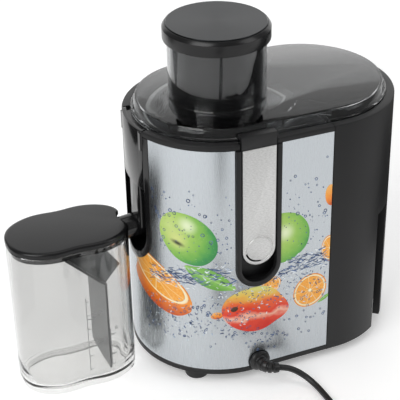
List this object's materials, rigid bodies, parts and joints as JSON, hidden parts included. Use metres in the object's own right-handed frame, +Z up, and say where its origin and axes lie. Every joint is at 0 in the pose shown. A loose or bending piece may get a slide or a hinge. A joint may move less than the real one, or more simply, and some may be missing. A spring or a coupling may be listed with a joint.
{
  "type": "centrifugal juicer",
  "caption": "Tall oval centrifugal juicer with a wide feed chute and pusher, side latches, a clear lid, a slide-off pulp bin, a spout and a lidded measuring jug.",
  "frame": {"origin": "middle of the table surface under the juicer and its jug, without the cable", "axes": "+X towards the pulp bin, -X towards the jug, -Y the long side with the cable, +Y the side with the rotary switch, +Z up"},
  "size_m": [0.3092, 0.2829, 0.2742],
  "materials": {
    "charcoal_plastic": "fine satin grain, moulded",
    "gloss_black": "polished moulding",
    "brushed_steel": "brushed upwards, satin",
    "grained_inlay": "coarse brushed",
    "spun_metal": "spun in rings, dark",
    "plain_steel": "ground",
    "smoky_plastic": "polished, clear, smoky",
    "clear_plastic": "polished, clear",
    "soft_rubber": "matte",
    "cable_sheath": "satin",
    "copper_wire": "enamelled wire",
    "motor_iron": "stacked sheets",
    "commutator_brass": "turned",
    "nylon": "natural, moulded"
  },
  "bodies": {
    "housing": {"base_plate": "charcoal_plastic", "motor_housing": "charcoal_plastic", "steel_wrap": "brushed_steel", "spout_slot_trim": "gloss_black", "spout_recess": "gloss_black", "latch_bezel_front": "gloss_black", "latch_bezel_rear": "gloss_black", "latch_pin_front": "plain_steel", "latch_pin_rear": "plain_steel", "motor_stator": "motor_iron", "field_coil_a": "copper_wire", "field_coil_b": "copper_wire", "motor_bracket_lower": "motor_iron", "motor_bracket_upper": "motor_iron", "bearing_lower": "plain_steel", "bearing_upper": "plain_steel", "rotary_switch": "gloss_black", "foot_front_left": "soft_rubber", "foot_front_right": "soft_rubber", "foot_rear_left": "soft_rubber", "foot_rear_right": "soft_rubber", "screw_front_left": "plain_steel", "screw_front_right": "plain_steel", "screw_rear_left": "plain_steel", "screw_rear_right": "plain_steel", "strain_relief": "soft_rubber", "power_cord": "cable_sheath", "power_cord_coil": "cable_sheath", "power_cord_tail": "cable_sheath", "plug": "gloss_black", "plug_pin_a": "plain_steel", "plug_pin_b": "plain_steel"},
    "rotor": {"motor_shaft": "plain_steel", "armature_core": "motor_iron", "armature_winding_lower": "copper_wire", "armature_winding_upper": "copper_wire", "commutator": "commutator_brass", "cooling_fan": "nylon", "drive_coupling": "nylon"},
    "bowl": {"juice_bowl": "gloss_black"},
    "basket": {"basket_mesh": "plain_steel", "basket_rim": "gloss_black", "basket_hub": "gloss_black", "grater_disc": "plain_steel"},
    "lid": {"lid": "smoky_plastic"},
    "pusher": {"pusher": "gloss_black", "pusher_cap": "charcoal_plastic", "pusher_cap_disc": "spun_metal"},
    "latch_front": {"latch_lever_front": "gloss_black", "latch_inlay_front": "grained_inlay"},
    "latch_rear": {"latch_lever_rear": "gloss_black", "latch_inlay_rear": "grained_inlay"},
    "knob": {"control_knob": "charcoal_plastic"},
    "pulp_bin": {"pulp_bin": "charcoal_plastic"},
    "jug": {"jug": "clear_plastic"},
    "jug_lid": {"jug_lid": "charcoal_plastic", "froth_separator": "smoky_plastic"}
  },
  "joints": [
    {"name": "rotor_spin", "type": "hinge", "parent": "housing", "child": "rotor", "pos_m": [0.0139, -0.00605, 0.0795], "axis": [0, 0, 1], "continuous": true},
    {"name": "bowl_lift", "type": "slide", "parent": "housing", "child": "bowl", "axis": [0, 0, 1], "range_m": [0, 0.11]},
    {"name": "basket_spin", "type": "hinge", "parent": "bowl", "child": "basket", "pos_m": [0.0139, -0.00605, 0.1575], "axis": [0, 0, 1], "continuous": true},
    {"name": "lid_lift", "type": "slide", "parent": "bowl", "child": "lid", "axis": [0, 0, 1], "range_m": [0, 0.1]},
    {"name": "pusher_lift", "type": "slide", "parent": "lid", "child": "pusher", "axis": [0, 0, 1], "range_m": [0, 0.085]},
    {"name": "latch_front_swing", "type": "hinge", "parent": "housing", "child": "latch_front", "pos_m": [0.0164, -0.07225, 0.1475], "axis": [1, 0, 0], "range_deg": [0, 6], "stiffness_Nm_per_rad": 0.6},
    {"name": "latch_rear_swing", "type": "hinge", "parent": "housing", "child": "latch_rear", "pos_m": [0.0164, 0.06015, 0.1475], "axis": [-1, 0, 0], "range_deg": [0, 6], "stiffness_Nm_per_rad": 0.6},
    {"name": "knob_turn", "type": "hinge", "parent": "housing", "child": "knob", "pos_m": [0.0164, 0.06395, 0.0555], "axis": [0, -1, 0], "range_deg": [0, 90]},
    {"name": "bin_slide", "type": "slide", "parent": "housing", "child": "pulp_bin", "axis": [1, 0, 0], "range_m": [0, 0.12]},
    {"name": "jug_slide", "type": "slide", "parent": "housing", "child": "jug", "axis": [-1, 0, 0], "range_m": [0, 0.12]},
    {"name": "jug_lid_lift", "type": "slide", "parent": "jug", "child": "jug_lid", "axis": [0, 0, 1], "range_m": [0, 0.13]}
  ],
  "couplings": [
    {"joint": "basket_spin", "follows": "rotor_spin", "ratio": 1}
  ]
}
